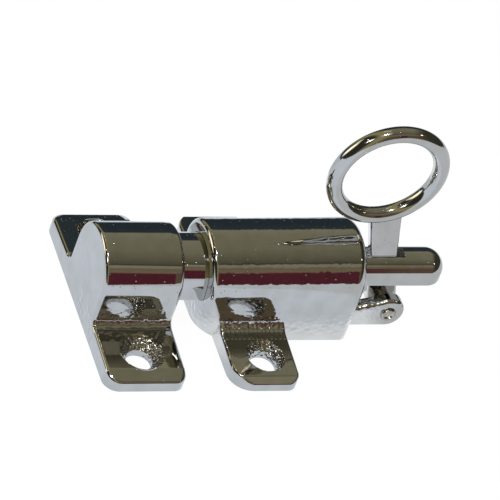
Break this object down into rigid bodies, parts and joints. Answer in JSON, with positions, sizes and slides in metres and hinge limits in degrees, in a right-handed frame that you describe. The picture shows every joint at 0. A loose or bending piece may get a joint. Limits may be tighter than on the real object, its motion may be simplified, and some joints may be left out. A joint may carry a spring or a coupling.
{
  "type": "window spring bolt",
  "caption": "Chrome-plated spring bolt for a fanlight or small window, drawn by a ring lever hinged behind its housing, with a separate box keeper",
  "frame": {"origin": "midway between the housing's two screw holes, on the face that the lock is screwed to", "axes": "+X from the keeper towards the bolt's tail, the way the bolt is withdrawn; +Y across the bolt, screw hole to screw hole; +Z away from the mounting face"},
  "size_m": [0.0726, 0.045, 0.0475],
  "materials": {
    "chromed_casting": "bright chrome plate on a polished zinc casting",
    "chromed_bolt": "bright chrome plate",
    "chromed_lever": "bright chrome plate",
    "spring_steel": "drawn wire",
    "riveted_pin": "plated, ends riveted over"
  },
  "bodies": {
    "housing": {"housing": "chromed_casting", "pivot_pin": "riveted_pin", "return_spring": "spring_steel"},
    "bolt": {"bolt": "chromed_bolt"},
    "ring_lever": {"ring_lever": "chromed_lever"},
    "keeper": {"keeper": "chromed_casting"}
  },
  "joints": [
    {"name": "lever_swing", "type": "hinge", "parent": "housing", "child": "ring_lever", "pos_m": [0.02865, 0, 0.0034], "axis": [0, 1, 0], "range_deg": [0, 43]},
    {"name": "bolt_draw", "type": "slide", "parent": "housing", "child": "bolt", "axis": [1, 0, 0], "range_m": [0, 0.008], "stiffness_N_per_m": 200, "springref_m": -0.008, "deforming": ["return_spring"]},
    {"name": "keeper_offset", "type": "slide", "parent": "housing", "child": "keeper", "axis": [-1, 0, 0], "range_m": [0, 0.03]}
  ],
  "couplings": [
    {"joint": "lever_swing", "follows": "bolt_draw", "rad_per_m": 93.8}
  ]
}
